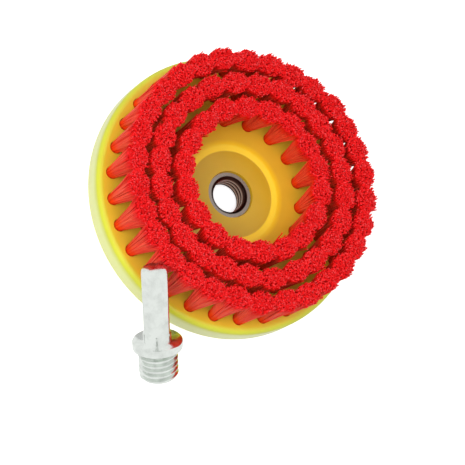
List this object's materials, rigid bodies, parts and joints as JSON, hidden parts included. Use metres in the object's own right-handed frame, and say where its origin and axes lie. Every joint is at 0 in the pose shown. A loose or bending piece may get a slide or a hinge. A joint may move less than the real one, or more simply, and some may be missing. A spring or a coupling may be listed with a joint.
{
  "type": "wheel brush",
  "caption": "Round bristle brush with concentric rings of tufts on a plastic disc, a threaded steel hub and a loose hexagon-shank drill adapter.",
  "frame": {"origin": "centre of the disc's back face, on the axis of the threaded hub", "axes": "+Z along the brush axis from the back face to the bristle tips, as it lies on its back; the loose adapter leans on the outer tufts on the -Y side, its thread end on the floor"},
  "size_m": [0.104, 0.1193, 0.0342],
  "materials": {
    "yellow_plastic": "smooth moulded, slightly translucent",
    "insert_steel": "turned, lightly oiled",
    "plated_steel": "bright plated",
    "red_bristle": "satin filament",
    "anchor_wire": "drawn flat wire"
  },
  "bodies": {
    "brush": {"brush_plate": "yellow_plastic", "inner_tufts_01": "red_bristle", "inner_tufts_02": "red_bristle", "inner_tufts_03": "red_bristle", "inner_tufts_04": "red_bristle", "inner_tufts_05": "red_bristle", "inner_tufts_06": "red_bristle", "inner_tufts_07": "red_bristle", "inner_tufts_08": "red_bristle", "inner_tufts_09": "red_bristle", "middle_tufts_01": "red_bristle", "middle_tufts_02": "red_bristle", "middle_tufts_03": "red_bristle", "middle_tufts_04": "red_bristle", "middle_tufts_05": "red_bristle", "middle_tufts_06": "red_bristle", "middle_tufts_07": "red_bristle", "middle_tufts_08": "red_bristle", "middle_tufts_09": "red_bristle", "middle_tufts_10": "red_bristle", "middle_tufts_11": "red_bristle", "middle_tufts_12": "red_bristle", "outer_tufts_01": "red_bristle", "outer_tufts_02": "red_bristle", "outer_tufts_03": "red_bristle", "outer_tufts_04": "red_bristle", "outer_tufts_05": "red_bristle", "outer_tufts_06": "red_bristle", "outer_tufts_07": "red_bristle", "outer_tufts_08": "red_bristle", "outer_tufts_09": "red_bristle", "outer_tufts_10": "red_bristle", "outer_tufts_11": "red_bristle", "outer_tufts_12": "red_bristle", "outer_tufts_13": "red_bristle", "outer_tufts_14": "red_bristle", "outer_tufts_15": "red_bristle", "threaded_insert": "insert_steel", "tuft_anchors_1": "anchor_wire", "tuft_anchors_2": "anchor_wire", "tuft_anchors_3": "anchor_wire", "tuft_anchors_4": "anchor_wire", "tuft_anchors_5": "anchor_wire", "tuft_anchors_6": "anchor_wire"},
    "adapter": {"drill_adapter": "plated_steel"}
  },
  "joints": [
    {"name": "adapter_lift", "type": "slide", "parent": "brush", "child": "adapter", "axis": [0, 0, 1], "range_m": [0, 0.06]}
  ]
}
